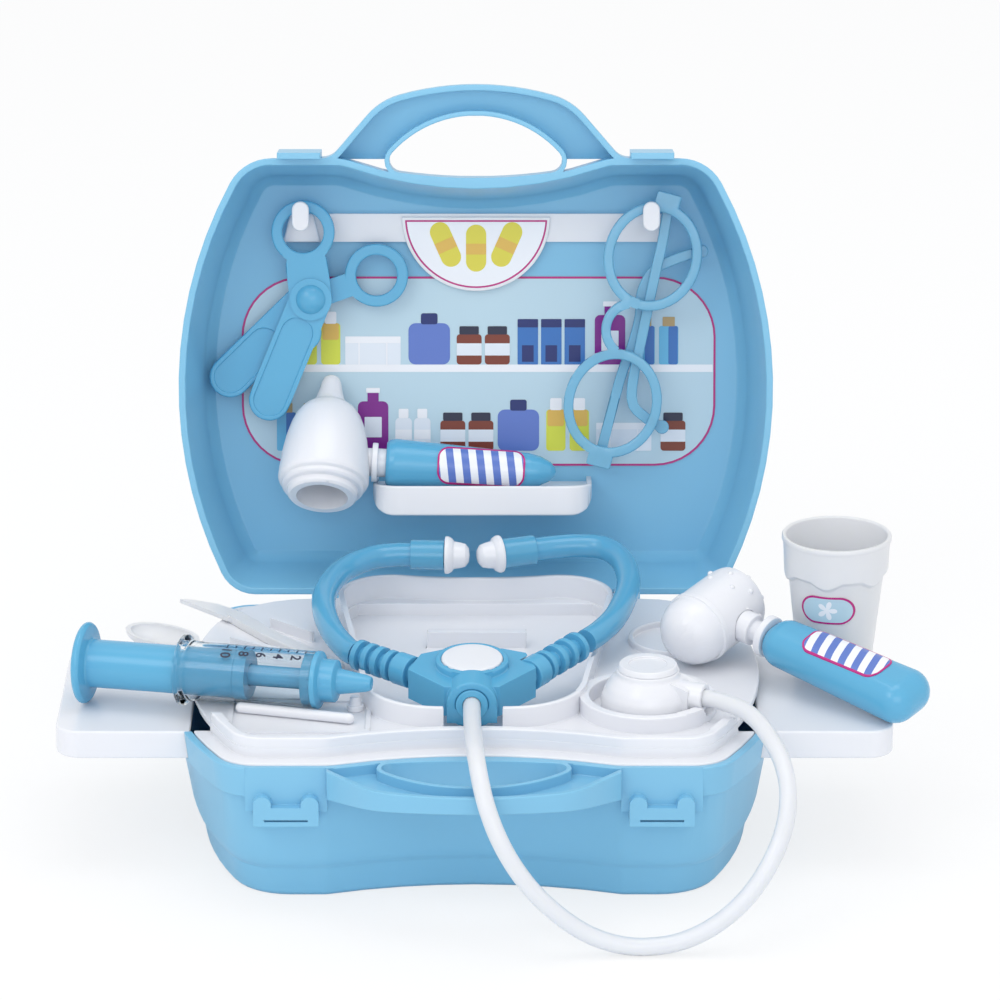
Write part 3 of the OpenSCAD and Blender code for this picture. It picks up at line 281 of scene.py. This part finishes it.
# ---- the moulded pieces: each CAD solid's shape, with its edges rounded as a mould leaves them ----
# edge is the rounding in mm; flats False keeps the triangles of flat faces that have holes in them
moulded = {
    "base_shell": {"edge": 0.5, "flats": False, "look": caseBlue, "slot": "blue_plastic"},
    "lid_shell": {"edge": 0.45, "flats": False, "look": caseBlue, "slot": "blue_plastic"},
    "tray_panel": {"edge": 0.7, "flats": False, "look": whiteShell, "slot": "white_plastic"},
    "hook_rail": {"edge": 0.7, "look": whiteShell, "slot": "white_plastic"},
    "badge": {"edge": 0.35, "look": whiteShell, "slot": "printed_sticker"},
    "lid_shelf": {"edge": 0.8, "look": whiteShell, "slot": "white_plastic"},
    "left_wing": {"edge": 0.9, "look": whiteShell, "slot": "white_plastic"},
    "right_wing": {"edge": 0.9, "look": whiteShell, "slot": "white_plastic"},
    "left_hinge_pin": {"edge": 0.3, "look": whiteShell, "slot": "white_plastic"},
    "right_hinge_pin": {"edge": 0.3, "look": whiteShell, "slot": "white_plastic"},
    "scissors_front": {"edge": 0.8, "look": toolBlue, "slot": "light_blue_plastic"},
    "scissors_back": {"edge": 0.8, "look": toolBlue, "slot": "light_blue_plastic"},
    "scissors_cap": {"edge": 0.3, "look": toolBlue, "slot": "light_blue_plastic"},
    "glasses_frame": {"edge": 0.8, "flats": False, "look": frameBlue, "slot": "light_blue_plastic"},
    "upper_temple": {"edge": 0.6, "look": frameBlue, "slot": "light_blue_plastic"},
    "lower_temple": {"edge": 0.6, "look": frameBlue, "slot": "light_blue_plastic"},
    "otoscope_head": {"edge": 0.35, "look": whiteShell, "slot": "white_plastic"},
    "otoscope_handle": {"edge": 0.3, "look": toolBlue, "slot": "blue_plastic"},
    "steth_yoke": {"edge": 0.8, "flats": False, "look": toolBlue, "slot": "light_blue_plastic"},
    "steth_button": {"edge": 0.3, "look": whiteShell, "slot": "white_plastic"},
    "left_rib_arm": {"edge": 0.45, "look": toolBlue, "slot": "light_blue_plastic"},
    "right_rib_arm": {"edge": 0.45, "look": toolBlue, "slot": "light_blue_plastic"},
    "left_ear_collar": {"edge": 0.2, "look": tubeBlue, "slot": "light_blue_plastic"},
    "right_ear_collar": {"edge": 0.2, "look": tubeBlue, "slot": "light_blue_plastic"},
    "left_ear_tip": {"edge": 0.3, "look": whiteShell, "slot": "white_plastic"},
    "right_ear_tip": {"edge": 0.3, "look": whiteShell, "slot": "white_plastic"},
    "hose_gland": {"edge": 0.6, "look": toolBlue, "slot": "light_blue_plastic"},
    "chest_dome": {"edge": 0.6, "flats": False, "look": whiteShell, "slot": "white_plastic"},
    "chest_cap": {"edge": 0.5, "look": whiteShell, "slot": "white_plastic"},
    "chest_diaphragm": {"edge": 0.2, "look": whiteShell, "slot": "white_plastic"},
    "hammer_head": {"edge": 0.3, "look": whiteShell, "slot": "white_plastic"},
    "hammer_neck": {"edge": 0.5, "look": whiteShell, "slot": "white_plastic"},
    "hammer_handle": {"edge": 0.5, "look": toolBlue, "slot": "blue_plastic"},
    "syringe_barrel": {"edge": 0.3, "look": crystal, "slot": "clear_plastic"},
    "syringe_plunger": {"edge": 0.4, "look": toolBlue, "slot": "blue_plastic"},
    "plunger_seal": {"edge": 0.3, "look": toolBlue, "slot": "blue_plastic"},
    "syringe_tip": {"edge": 0.35, "flats": False, "look": toolBlue, "slot": "blue_plastic"},
    "knife": {"edge": 0.5, "look": milkyCup, "slot": "white_plastic"},
    "spoon": {"edge": 0.5, "look": milkyCup, "slot": "white_plastic"},
    "thermometer": {"edge": 0.2, "look": whiteShell, "slot": "white_plastic"},
    "specimen_peg": {"edge": 0.3, "look": whiteShell, "slot": "white_plastic"}}


def cleanCopy(node, name, joinFlats=True):
    piece = bpy.data.objects.new(name, nodes[node].data.copy())
    bpy.context.scene.collection.objects.link(piece)
    onlyThis(piece)
    bpy.ops.mesh.customdata_custom_splitnormals_clear()
    editing(piece)
    bpy.ops.mesh.remove_doubles(threshold=0.02 * mm)
    if joinFlats:
        bpy.ops.mesh.dissolve_limited(angle_limit=math.radians(1))
    doneEditing()
    return piece


rounding = {"sharpAngle": 32, "segments": 3, "leastShare": 0.25, "shallow": 0.3, "tries": 4}


def markRoundedEdges(piece, width, tightSpots):
    # each sharp edge gets the share of the rounding that the edges beside it leave room for
    shape = bmesh.new()
    shape.from_mesh(piece.data)
    limit = math.radians(rounding["sharpAngle"])
    sharp = {e.index for e in shape.edges if len(e.link_faces) == 2 and e.calc_face_angle(0) > limit}
    room = {}
    for corner in shape.verts:
        hard = [e for e in corner.link_edges if e.index in sharp]
        if not hard:
            continue
        room[corner.index] = 1.0
        for side in corner.link_edges:
            end = side.other_vert(corner)
            reach = end.co - corner.co
            taken = 0.47 if any(e.index in sharp for e in end.link_edges) else 0.9
            for edge in hard:
                run = edge.other_vert(corner).co - corner.co
                lean = reach.cross(run).length / max(reach.length * run.length, 1e-12)
                if edge is not side and lean > rounding["shallow"]:
                    room[corner.index] = min(room[corner.index], taken * reach.length * lean / width)
    shares = [min(room[v.index] for v in e.verts) if e.index in sharp else 0.0 for e in shape.edges]
    for edge in shape.edges:
        if shares[edge.index] > 0:
            ends = [v.co for v in edge.verts]
            for spot in tightSpots:
                beside, along = intersect_point_line(spot, *ends)
                beside = ends[0] if along < 0 else ends[1] if along > 1 else beside
                if (beside - spot).length < 1.6 * width:
                    shares[edge.index] = 0.0
                    break
    shape.free()
    weights = piece.data.attributes.new("bevel_weight_edge", "FLOAT", "EDGE")
    for mark, share in zip(weights.data, shares):
        mark.value = share if share > rounding["leastShare"] else 0.0


def foldedSpots(piece, skin, width):
    # places where the rounding folded over itself or left the solid
    spots = []
    for face in piece.data.polygons:
        nearest, normal, number, distance = skin.find_nearest(face.center)
        if normal.dot(face.normal) < 0 and face.area > (0.05 * mm) ** 2:
            spots += [skin.find_nearest(piece.data.vertices[v].co)[0] for v in face.vertices]
    for corner in piece.data.vertices:
        nearest, normal, number, distance = skin.find_nearest(corner.co)
        if distance > 0.6 * width:
            spots.append(nearest)
    return spots


def roundEdges(piece, node, width):
    solid = nodes[node].data
    solid.calc_loop_triangles()
    skin = BVHTree.FromPolygons([v.co for v in solid.vertices], [t.vertices for t in solid.loop_triangles])
    unrounded = piece.data.copy()
    tightSpots = []
    for attempt in range(rounding["tries"]):
        piece.data = unrounded.copy()
        markRoundedEdges(piece, width, tightSpots)
        bevel = piece.modifiers.new("mouldRounding", "BEVEL")
        bevel.width = width
        bevel.segments = rounding["segments"]
        bevel.limit_method = "WEIGHT"
        bevel.use_clamp_overlap = False
        applyModifiers(piece)
        folded = foldedSpots(piece, skin, width)
        if not folded:
            break
        tightSpots += folded
    # a corner that a tight spot still throws off goes back to the nearest point of the solid
    for corner in piece.data.vertices:
        nearest, normal, number, distance = skin.find_nearest(corner.co)
        if distance > 0.6 * width or (corner.co - nearest).dot(normal) > 0.01 * mm:
            corner.co = nearest
    editing(piece)
    bpy.ops.mesh.dissolve_degenerate(threshold=0.01 * mm)
    doneEditing()
    return len(folded)


def pieceName(node):
    words = node.split("_")
    return words[0] + "".join(w.capitalize() for w in words[1:])


pieces = {}
for node, facts in moulded.items():
    piece = cleanCopy(node, pieceName(node), facts.get("flats", True))
    folded = roundEdges(piece, node, facts["edge"] * mm)
    if folded:
        print("  left folded:", node, folded)
    smoothShading(piece)
    pieces[node] = finishPiece(piece, nodeBody[node], facts["look"], [node])
print("moulded pieces:", len(pieces))


# ---- ear tubes: soft tube bent from the ribbed arms round to the ear tips ----
earTubes = {"origin": (-1, -33.35, 76), "tilt": 4.8, "diameter": 10, "paths": {
    "left_ear_tube": [(-46.9, 21.4, -0.5), (-50.6, 25.4, -0.3), (-57, 41, 0), (-61, 62, 0), (-60.5, 81, 0),
                      (-54.5, 100, 0), (-43.5, 112.4, 0), (-34, 115.9, 0), (-27, 116.3, 0), (-20, 116, 0)],
    "right_ear_tube": [(46, 33, -0.5), (52, 41.4, -0.2), (58.6, 56, 0), (63.6, 79, 0), (64.2, 96, 0), (61.6, 112, 0),
                       (55, 122.6, 0), (45, 125.2, 0), (35, 123.9, 0), (27, 121.6, 0), (21, 119.8, 0)]}}
inStethoscope = (Matrix.Translation(Vector(earTubes["origin"]) * mm)
                 @ Matrix.Rotation(math.radians(earTubes["tilt"]), 4, "X"))
for node, path in earTubes["paths"].items():
    tube = smoothTube(pieceName(node), [[c * mm for c in p] for p in path], earTubes["diameter"] * mm, 8)
    onlyThis(tube)
    bpy.ops.object.convert(target="MESH")
    bakePlace(tube, inStethoscope)
    smoothShading(tube, 50)
    pieces[node] = finishPiece(tube, "stethoscope", tubeBlue, [node])
print("ear tubes bent")


# ---- stickers on the otoscope, hammer and cup ----
hammerPlace = aimed((98.6, 17.25, 83.8), (0.766, -0.622, -0.142), (0.693, 0.695, 0.19))
gripPlace = (inLid @ Matrix.Translation((-38 * mm, 57.5 * mm, -12 * mm)) @ Matrix.Rotation(math.radians(-3), 4, "Z")
             @ Matrix.Rotation(math.radians(90), 4, "Y") @ Matrix.Translation((0, 0, 40.2 * mm)))
cupPlace = Matrix.Translation((147 * mm, 19.65 * mm, 60.2 * mm))
# place is the middle of the sticker: x along it, y across it, z out of the surface
stickers = {
    "otoscope_sticker": {
        "place": gripPlace @ Matrix.Rotation(math.radians(-90), 4, "Y") @ Matrix.Rotation(math.radians(-11), 4, "X"),
        "core": (13.5, 3), "radius": 5,
        "motif": {"kind": "stripes", "pitch": 6.4, "slant": 0.16, "ground": "royal", "figure": "white"}},
    "hammer_sticker": {
        "place": (hammerPlace @ Matrix.Translation((0, 0, 66 * mm)) @ Matrix.Rotation(math.radians(-90), 4, "X")
                  @ Matrix.Rotation(math.radians(90), 4, "Z")),
        "core": (14, 3), "radius": 5,
        "motif": {"kind": "stripes", "pitch": 6.6, "slant": 0.3, "ground": "royal", "figure": "white"}},
    "cup_sticker": {
        "place": (cupPlace @ Matrix.Translation((0, 0, 30.5 * mm)) @ Matrix.Rotation(math.radians(-14), 4, "Z")
                  @ Matrix.Rotation(math.radians(90), 4, "X")),
        "core": (5, 0), "radius": 6,
        "motif": {"kind": "petals", "petals": 5, "core": 0.9, "reach": 4.2, "ground": "sky", "figure": "white"}}}
inkLine = 0.8
for node, facts in stickers.items():
    piece = cleanCopy(node, pieceName(node))
    smoothShading(piece)
    look = stickerMaterial("printedVinyl" + pieceName(node)[0].upper() + pieceName(node)[1:], facts["place"],
                           facts["core"], facts["radius"], inkLine, facts["motif"])
    pieces[node] = finishPiece(piece, nodeBody[node], look, [node])
print("stickers on")


# ---- cup: thin wall, rolled rim, a collar with a wavy lower edge ----
cup = {"waves": 6, "wave": 2.0,
       "profile": [(0, 0), (14.2, 0), (15, 0.8), (19.35, 41.2), (19.75, 41.9), (20.95, 42.6), (21.2, 43.4),
                   (21.75, 54.9), (22.3, 55.4), (22.3, 56.8), (21.9, 57.3), (21.0, 57.3), (20.3, 56.6), (18.7, 43),
                   (13.9, 2.2), (13.2, 1.6), (0, 1.6)]}


def turned(name, profile, steps):
    data = bpy.data.meshes.new(name)
    data.from_pydata([(x * mm, 0, z * mm) for x, z in profile], [(i, i + 1) for i in range(len(profile) - 1)], [])
    piece = bpy.data.objects.new(name, data)
    bpy.context.scene.collection.objects.link(piece)
    editing(piece, "VERT")
    bpy.ops.mesh.spin(steps=steps, angle=2 * math.pi, center=(0, 0, 0), axis=(0, 0, 1))
    bpy.ops.mesh.select_all(action="SELECT")
    bpy.ops.mesh.remove_doubles(threshold=0.002 * mm)
    bpy.ops.mesh.normals_make_consistent(inside=False)
    doneEditing()
    return piece


cupPiece = turned("cup", cup["profile"], 120)
for corner in cupPiece.data.vertices:
    high = corner.co.z / mm
    out = math.hypot(corner.co.x, corner.co.y) / mm
    if 40 < high < 44 and out > 19:
        swing = math.sin(cup["waves"] * math.atan2(corner.co.y, corner.co.x))
        corner.co.z -= cup["wave"] * mm * (max(swing, -0.35) + 0.35)
bakePlace(cupPiece, cupPlace)
smoothShading(cupPiece, 50)
pieces["cup"] = finishPiece(cupPiece, "cup", milkyCup, ["cup"])
print("cup turned")


# ---- flat printed shapes: the picture card and the badge ----
def flatShape(centre, size, roundness, ink, layer, turn=0):
    bpy.ops.mesh.primitive_plane_add(size=1)
    shape = bpy.context.object
    shape.scale = (size[0] * mm, size[1] * mm, 1)
    shape.location = (0, 0, 0)
    bakePlace(shape)
    if roundness:
        editing(shape, "VERT")
        bpy.ops.mesh.bevel(offset=roundness * mm, segments=10 if roundness > 4 else 5, affect="VERTICES")
        doneEditing()
    shape.data.materials.append(inkOf(ink))
    bakePlace(shape, inLid @ Matrix.Translation((centre[0] * mm, centre[1] * mm, (lidPlace["panel"] + layer) * mm))
              @ Matrix.Rotation(math.radians(turn), 4, "Z"))
    return shape


def joined(name, shapes):
    bpy.ops.object.select_all(action="DESELECT")
    for shape in shapes:
        shape.select_set(True)
    bpy.context.view_layer.objects.active = shapes[0]
    bpy.ops.object.join()
    shapes[0].name = name
    return shapes[0]


# motifs: rectangles as (across, up, width, height, corner, ink) from the motif's foot
motifs = {
    "tube": [(0, 7.5, 7, 15, 1.2, "lime"), (0, 12, 6, 6, 0.8, "ochre"), (0, 17, 4.2, 4.4, 0.6, "white")],
    "jar": [(0, 5.5, 9, 11, 1.2, "brown"), (0, 5.5, 9, 4.4, 0, "pale"), (0, 12.4, 7, 3, 0.5, "black")],
    "drum": [(0, 7.5, 15, 15, 2.6, "royal"), (0, 16.6, 6, 4, 0.8, "navy")],
    "carton": [(0, 8, 7.4, 16, 0.3, "cobalt"), (0, 4, 4.2, 6, 0, "navy"), (0, 15, 7.4, 3, 0.3, "navy")],
    "flask": [(0, 9, 11, 18, 2, "purple"), (0, 8.6, 6.2, 7.4, 0.3, "pale"), (0, 19.6, 4, 4, 0.5, "purple"),
              (0, 22, 5, 1.8, 0.3, "white")],
    "phial": [(0, 7, 7, 14, 0.8, "aqua"), (1.6, 7, 3.4, 14, 0.8, "cobalt"), (0, 15.6, 4.4, 3.4, 0.3, "tan")],
    "box": [(0, 5, 20, 10, 0.4, "pale"), (0, 9, 20, 2.4, 0.2, "white"), (-5, 4, 0.5, 8, 0, "white"),
            (5, 4, 0.5, 8, 0, "white")],
    "bottle": [(0, 6, 6, 12, 1.6, "pale"), (0, 6, 6, 3.4, 0, "white"), (0, 13.6, 3.6, 3.4, 0.5, "white")]}
card = {"centre": (1, 94.05), "size": (202, 81.1), "corner": 25.9, "line": 0.9, "shelfHeight": 97, "grow": 1.18,
        "upper": [("tube", -82), ("tube", -72), ("tube", -62), ("box", -44), ("drum", -20), ("jar", -3), ("jar", 9),
                  ("carton", 22), ("carton", 32), ("carton", 42), ("flask", 57), ("phial", 72), ("phial", 82)],
        "lower": [("phial", -81), ("phial", -71), ("carton", -58), ("flask", -44), ("bottle", -31), ("bottle", -23),
                  ("jar", -10), ("jar", 2), ("drum", 18), ("tube", 34), ("tube", 44), ("box", 63), ("jar", 84)],
        "lowerFoot": 60}

inner = [side - 2 * card["line"] for side in card["size"]]
shapes = [flatShape(card["centre"], card["size"], card["corner"], "magenta", 0.3),
          flatShape(card["centre"], inner, card["corner"] - card["line"], "sky", 0.42),
          flatShape((1, card["shelfHeight"] - 1.6), (card["size"][0] - 2.4, 3.2), 0, "white", 0.5)]
for row, foot in (("upper", card["shelfHeight"]), ("lower", card["lowerFoot"])):
    for kind, across in card[row]:
        for step, (x, y, wide, high, corner, ink) in enumerate(motifs[kind]):
            grow = card["grow"]
            shapes.append(flatShape((across + grow * x, foot + grow * y), (grow * wide, grow * high), grow * corner,
                                    ink, 0.56 + 0.05 * step))
cardPiece = joined("pictureCard", shapes)
pieces["shelf_card"] = finishPiece(cardPiece, "lid", None, ["shelf_card"])
print("picture card printed")

badgePrint = {"centre": (0, 160.2), "radius": 30.2, "line": 0.75, "face": 3.62}


def halfDisc(radius, ink, layer, drop):
    bpy.ops.mesh.primitive_circle_add(vertices=96, radius=radius * mm, fill_type="NGON")
    disc = bpy.context.object
    editing(disc)
    bpy.ops.mesh.bisect(plane_co=(0, -drop * mm, 0), plane_no=(0, 1, 0), clear_outer=True)
    doneEditing()
    disc.data.materials.append(inkOf(ink))
    bakePlace(disc, inLid @ Matrix.Translation((badgePrint["centre"][0] * mm, badgePrint["centre"][1] * mm,
                                                (lidPlace["panel"] + layer) * mm)))
    return disc


face = badgePrint["face"]
shapes = [halfDisc(badgePrint["radius"], "magenta", face, 1.3),
          halfDisc(badgePrint["radius"] - badgePrint["line"], "white", face + 0.04, 1.3 + badgePrint["line"])]
# three capsules side by side, each half yellow and half ochre
for across, turn in ((-13, 24), (0, 0), (13, -24)):
    lean = math.radians(turn)
    foot = Vector((across, 160.2 - 13.2 + abs(across) * 0.12))
    along = Vector((-math.sin(lean), math.cos(lean)))
    shapes.append(flatShape(foot, (8.6, 20), 4.25, "yellow", face + 0.08, turn))
    shapes.append(flatShape(foot - along * 0.4, (8.6, 4.6), 0, "ochre", face + 0.12, turn))
badgeInk = joined("badgePrint", shapes)
finishPiece(badgeInk, "lid", None, [])
print("badge printed")


# ---- scale on the syringe's barrel: plain numbers and ticks, bent round it ----
syringe = {"start": (-156.3, -20.85, 76.9), "end": (-40.7, -49.35, 78.8), "scaleFrom": 60, "scaleStep": 7.2,
           "tall": 4.2, "bold": 0.12, "lift": 0.08}
syringePlace = aimed(syringe["start"], Vector(syringe["end"]) - Vector(syringe["start"]), (0, 0, 1))


def barrelRadius(along):
    return 11.8 - 0.4 * (along - 50) / 44 + syringe["lift"]


def wrapped(piece, along, angle):
    # flat x runs round the barrel, flat y along it towards the tip
    for corner in piece.data.vertices:
        z = along + corner.co.y / mm
        around = math.radians(angle) + corner.co.x / mm / barrelRadius(z)
        out = (barrelRadius(z) + corner.co.z / mm) * mm
        corner.co = (out * math.cos(around), out * math.sin(around), z * mm)
    bakePlace(piece, syringePlace)
    return piece


marks = []
for count, number in enumerate(("10", "8", "6", "4", "2")):
    along = syringe["scaleFrom"] + syringe["scaleStep"] * count
    bpy.ops.object.text_add()
    text = bpy.context.object
    text.data.body = number
    text.data.size = syringe["tall"] * 1.35 * mm
    text.data.align_x = "CENTER"
    text.data.extrude = 0.02 * mm
    text.data.offset = syringe["bold"] * mm
    onlyThis(text)
    bpy.ops.object.convert(target="MESH")
    digits = bpy.context.object
    # small faces, so that the digits bend with the barrel and don't sink into it
    editing(digits)
    bpy.ops.mesh.quads_convert_to_tris()
    bpy.ops.mesh.subdivide(number_cuts=3)
    doneEditing()
    marks.append(wrapped(digits, along - 1.4, 24))
    for half in (0, 0.5):
        bpy.ops.mesh.primitive_plane_add(size=1)
        tick = bpy.context.object
        tick.scale = ((3.4 if half == 0 else 2.2) * mm, 0.6 * mm, 1)
        bakePlace(tick)
        editing(tick)
        bpy.ops.mesh.subdivide(number_cuts=4)
        doneEditing()
        marks.append(wrapped(tick, along + half * syringe["scaleStep"], 2))
for mark in marks:
    mark.data.materials.clear()
scale = joined("syringeScale", marks)
finishPiece(scale, "syringe", inkOf("black"), [])
print("syringe scale printed")


# ---- floor, light ----
studio = {"floor": "#f6f7f9", "world": 0.88}
bpy.ops.mesh.primitive_plane_add(size=8, location=(0, 1.0, 0))
floor = bpy.context.object
floor.name = "floor"
floorLook = bpy.data.materials.new("paintedBoardWhite")
floorLook.use_nodes = True
tree = floorLook.node_tree
tree.nodes.clear()
rays = addNode(tree, "ShaderNodeLightPath")
seen = addNode(tree, "ShaderNodeMath", {1: 0.72}, {0: rays.outputs["Is Camera Ray"]}, operation="MULTIPLY")
board = addNode(tree, "ShaderNodeBsdfDiffuse", {"Color": srgb(studio["floor"])})
glow = addNode(tree, "ShaderNodeEmission", {"Color": (1, 1, 1, 1), "Strength": 1.0})
mixed = addNode(tree, "ShaderNodeMixShader", None, {0: seen.outputs[0], 1: board.outputs[0], 2: glow.outputs[0]})
addNode(tree, "ShaderNodeOutputMaterial", None, {"Surface": mixed.outputs[0]})
floor.data.materials.append(floorLook)

world = bpy.data.worlds.new("studio")
bpy.context.scene.world = world
world.use_nodes = True
tree = world.node_tree
tree.nodes.clear()
rays = addNode(tree, "ShaderNodeLightPath")
shown = addNode(tree, "ShaderNodeMath", None, {0: rays.outputs["Is Camera Ray"], 1: rays.outputs["Is Transmission Ray"]},
                operation="MAXIMUM")
level = addNode(tree, "ShaderNodeMapRange", {"To Min": studio["world"], "To Max": 1.0}, {"Value": shown.outputs[0]})
sky = addNode(tree, "ShaderNodeBackground", {"Color": (1, 1, 1, 1)}, {"Strength": level.outputs["Result"]})
addNode(tree, "ShaderNodeOutputWorld", None, {"Surface": sky.outputs[0]})

# softboxes: where each stands, what it faces, its sides in metres and its power in watts
softboxes = {
    "keyBox": {"place": (-1.0, -1.3, 1.5), "faces": (0, 0, 0.1), "sides": (0.9, 0.9), "power": 5.5},
    "frontBox": {"place": (0.3, -2.0, 0.9), "faces": (0, 0.1, 0.14), "sides": (1.5, 0.9), "power": 6.5},
    "topBox": {"place": (0, -0.1, 1.7), "faces": (0, 0, 0), "sides": (1.2, 0.8), "power": 5}}
for name, box in softboxes.items():
    aim = Vector(box["faces"]) - Vector(box["place"])
    bpy.ops.object.light_add(type="AREA", location=box["place"], rotation=aim.to_track_quat("-Z", "Y").to_euler())
    lamp = bpy.context.object
    lamp.name = name
    lamp.data.shape = "RECTANGLE"
    lamp.data.size, lamp.data.size_y = box["sides"]
    lamp.data.energy = box["power"]
bpy.context.scene.view_settings.view_transform = "Standard"
print("studio lit")
